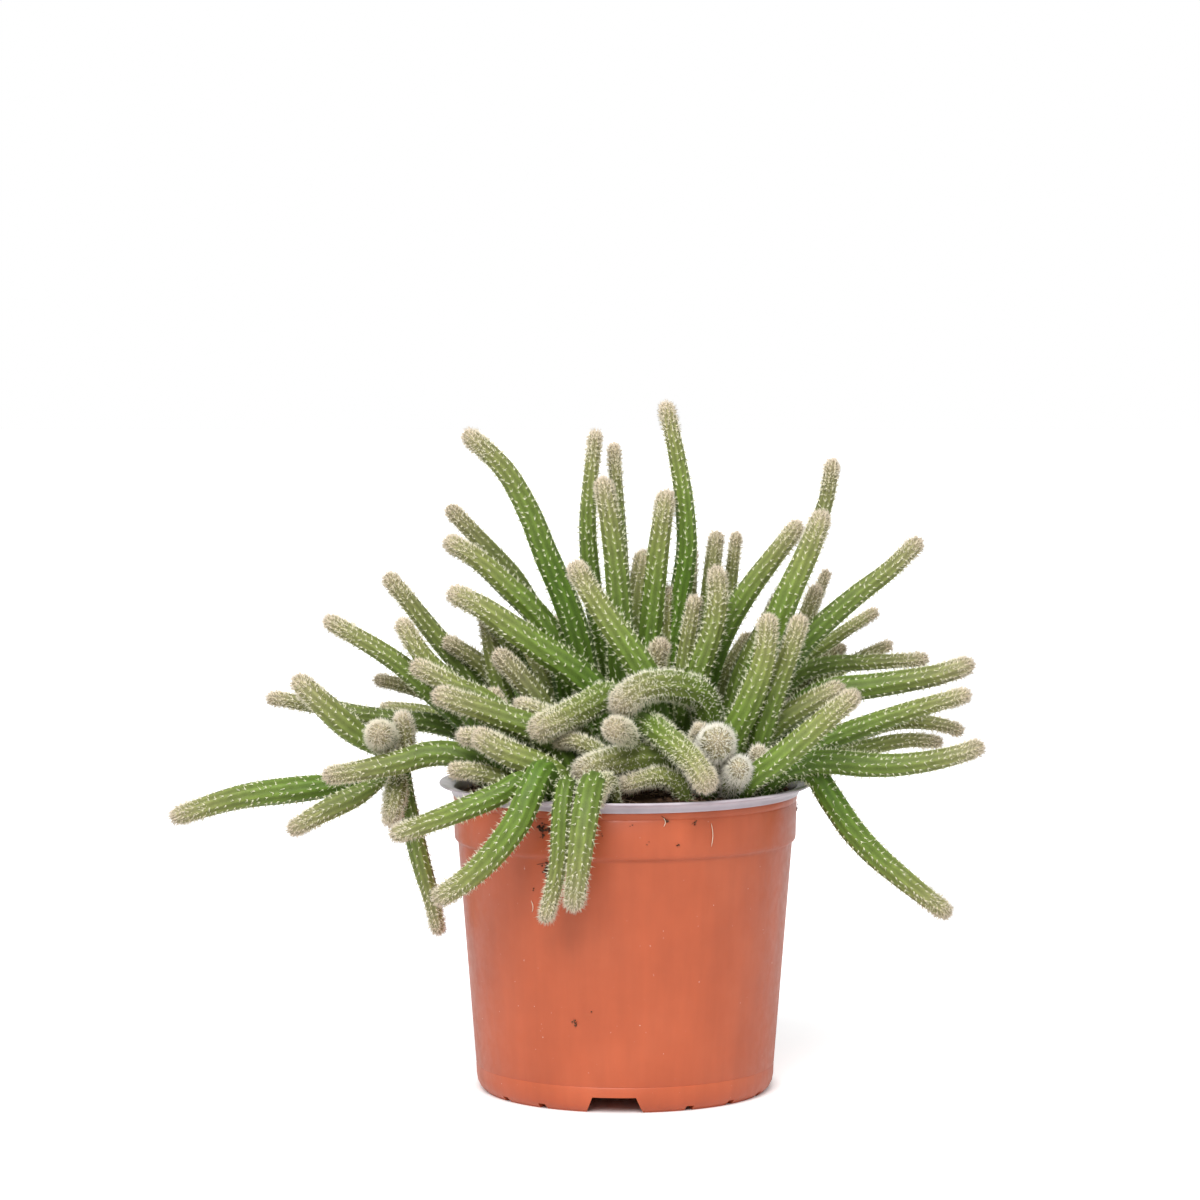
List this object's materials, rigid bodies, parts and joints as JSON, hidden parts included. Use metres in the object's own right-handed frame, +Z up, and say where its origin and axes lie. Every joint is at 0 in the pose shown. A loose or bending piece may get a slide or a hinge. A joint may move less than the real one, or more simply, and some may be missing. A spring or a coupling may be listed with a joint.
{
  "type": "potted rhipsalis",
  "caption": "Hairy rhipsalis cactus in a thin terracotta nursery pot, with bristly stems that rise, arch and trail over the rim.",
  "frame": {"origin": "on the surface that the pot stands on, under the middle of the whole plant's box", "axes": "+X to the right along the plant's widest spread, +Y to the back, +Z up along the pot's axis"},
  "size_m": [0.2842, 0.1852, 0.2391],
  "materials": {
    "pot_plastic": "thin terracotta-coloured polypropylene with a low satin sheen, pale lilac-grey on the inside and the lip",
    "soil": "dark brown fibrous peat, matt",
    "stem": "fleshy green skin with low ribs and rows of cream bristles, closest at the tan tips"
  },
  "bodies": {
    "root": {"pot": "pot_plastic", "soil": "soil", "stem_left_1": "stem", "stem_left_2": "stem", "stem_left_3": "stem", "stem_left_4": "stem", "stem_left_5": "stem", "stem_left_6": "stem", "stem_left_7": "stem", "stem_left_8": "stem", "stem_left_9": "stem", "stem_shoulder_1": "stem", "stem_shoulder_2": "stem", "stem_shoulder_3": "stem", "stem_shoulder_4": "stem", "stem_shoulder_5": "stem", "stem_shoulder_6": "stem", "stem_shoulder_7": "stem", "stem_shoulder_8": "stem", "stem_front_1": "stem", "stem_front_2": "stem", "stem_front_3": "stem", "stem_front_4": "stem", "stem_front_5": "stem", "stem_centre_1": "stem", "stem_centre_2": "stem", "stem_centre_3": "stem", "stem_centre_4": "stem", "stem_centre_5": "stem", "stem_centre_6": "stem", "stem_crown_1": "stem", "stem_crown_2": "stem", "stem_crown_3": "stem", "stem_crown_4": "stem", "stem_crown_5": "stem", "stem_crown_6": "stem", "stem_crown_7": "stem", "stem_crown_8": "stem", "stem_crown_9": "stem", "stem_crown_10": "stem", "stem_crown_11": "stem", "stem_right_1": "stem", "stem_right_2": "stem", "stem_right_3": "stem", "stem_right_4": "stem", "stem_right_5": "stem", "stem_right_6": "stem", "stem_right_7": "stem", "stem_right_8": "stem", "stem_right_9": "stem", "stem_right_10": "stem", "stem_right_11": "stem", "stem_right_12": "stem", "stem_back_1": "stem", "stem_back_2": "stem", "stem_back_3": "stem", "stem_back_4": "stem", "stem_back_5": "stem", "stem_back_6": "stem", "stem_back_7": "stem"}
  },
  "joints": []
}
